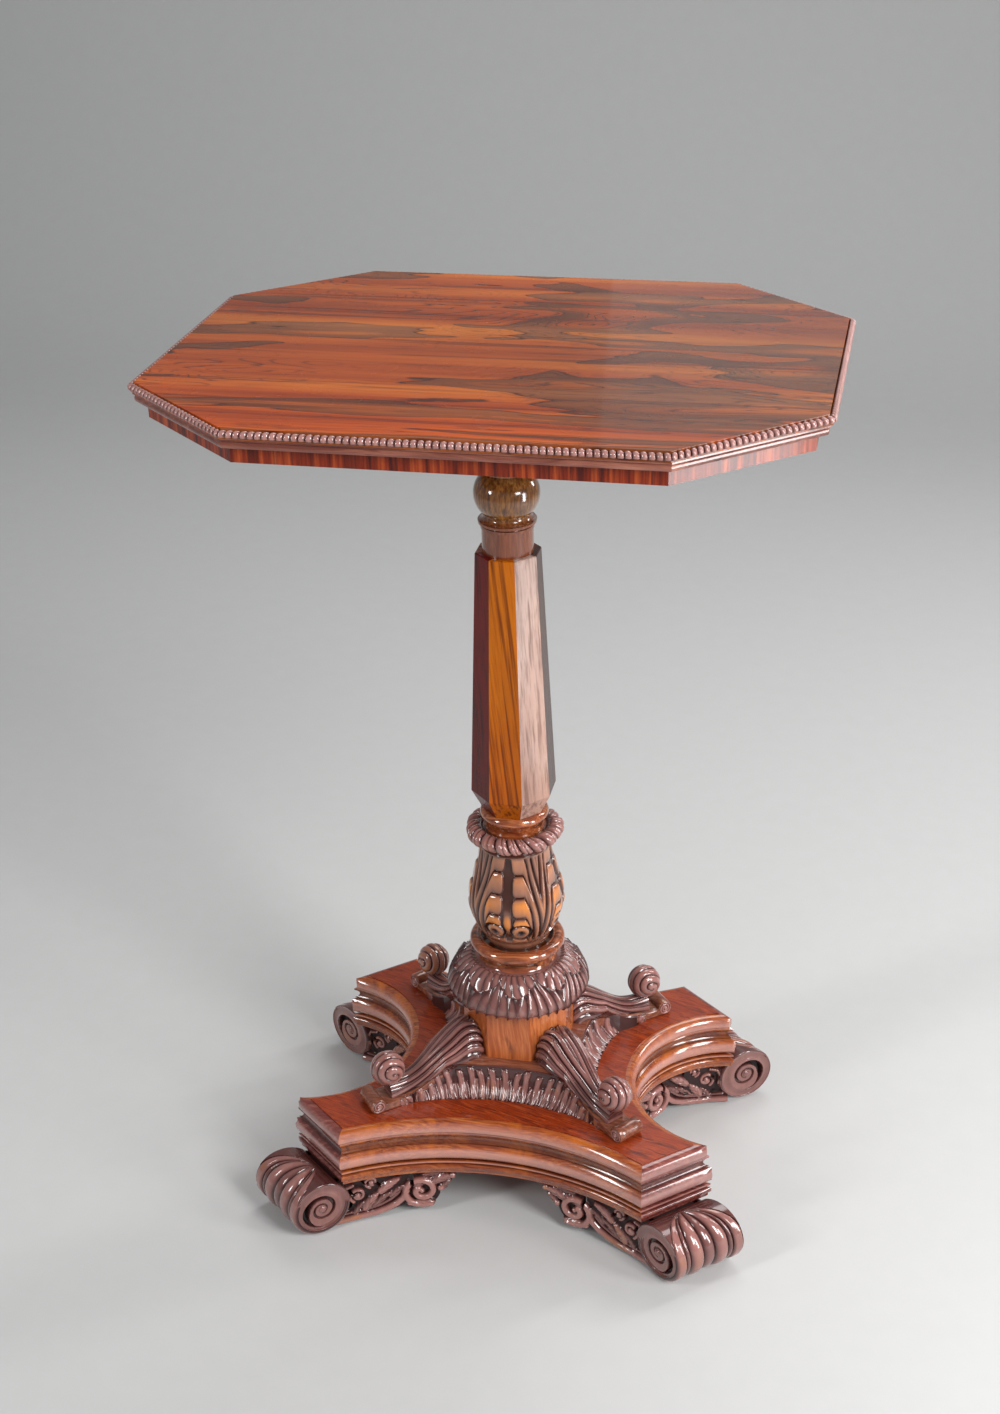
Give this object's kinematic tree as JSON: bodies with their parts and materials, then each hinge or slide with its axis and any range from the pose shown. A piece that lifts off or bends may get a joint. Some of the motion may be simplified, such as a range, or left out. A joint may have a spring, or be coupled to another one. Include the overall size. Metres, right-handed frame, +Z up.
{
  "type": "wine table",
  "caption": "Small canted rectangular wine table with a beaded edge, on a faceted column with a carved baluster, leaf brackets and a moulded platform on scroll feet.",
  "frame": {"origin": "on the floor, under the column's axis", "axes": "+X along the long side of the top, +Y to the back, +Z up"},
  "size_m": [0.496, 0.398, 0.735],
  "materials": {
    "top_veneer": "polished rosewood veneer",
    "edge_wood": "polished dark rosewood",
    "banding": "polished crossbanded veneer",
    "secondary_wood": "unpolished",
    "turned_wood": "polished rosewood",
    "carved_wood": "polished, darkened in the carving",
    "platform_veneer": "polished rosewood veneer",
    "steel": "plain screws"
  },
  "bodies": {
    "root": {"top_board": "top_veneer", "bead_strip_front": "edge_wood", "bead_strip_front_right": "edge_wood", "bead_strip_right": "edge_wood", "bead_strip_back_right": "edge_wood", "bead_strip_back": "edge_wood", "bead_strip_back_left": "edge_wood", "bead_strip_left": "edge_wood", "bead_strip_front_left": "edge_wood", "edge_moulding_front": "edge_wood", "edge_moulding_front_right": "edge_wood", "edge_moulding_right": "edge_wood", "edge_moulding_back_right": "edge_wood", "edge_moulding_back": "edge_wood", "edge_moulding_back_left": "edge_wood", "edge_moulding_left": "edge_wood", "edge_moulding_front_left": "edge_wood", "frieze_band_front": "banding", "frieze_band_front_right": "banding", "frieze_band_right": "banding", "frieze_band_back_right": "banding", "frieze_band_back": "banding", "frieze_band_back_left": "banding", "frieze_band_left": "banding", "frieze_band_front_left": "banding", "bearer_left": "secondary_wood", "bearer_right": "secondary_wood", "mounting_block": "secondary_wood", "top_screws": "steel", "column_capital": "turned_wood", "column_shaft": "turned_wood", "shaft_ring": "turned_wood", "leaf_collar": "carved_wood", "carved_baluster": "carved_wood", "column_disc": "turned_wood", "leaf_shoulder": "carved_wood", "column_block": "turned_wood", "base_mound": "carved_wood", "carved_cove_front": "carved_wood", "carved_cove_right": "carved_wood", "carved_cove_back": "carved_wood", "carved_cove_left": "carved_wood", "leaf_bracket_back_right": "carved_wood", "leaf_bracket_back_left": "carved_wood", "leaf_bracket_front_left": "carved_wood", "leaf_bracket_front_right": "carved_wood", "platform_core": "platform_veneer", "platform_side_moulding_front": "platform_veneer", "platform_side_moulding_right": "platform_veneer", "platform_side_moulding_back": "platform_veneer", "platform_side_moulding_left": "platform_veneer", "platform_end_moulding_back_right": "edge_wood", "platform_end_moulding_back_left": "edge_wood", "platform_end_moulding_front_left": "edge_wood", "platform_end_moulding_front_right": "edge_wood", "scroll_foot_back_right": "carved_wood", "scroll_foot_back_left": "carved_wood", "scroll_foot_front_left": "carved_wood", "scroll_foot_front_right": "carved_wood", "foot_screws": "steel"}
  },
  "joints": []
}
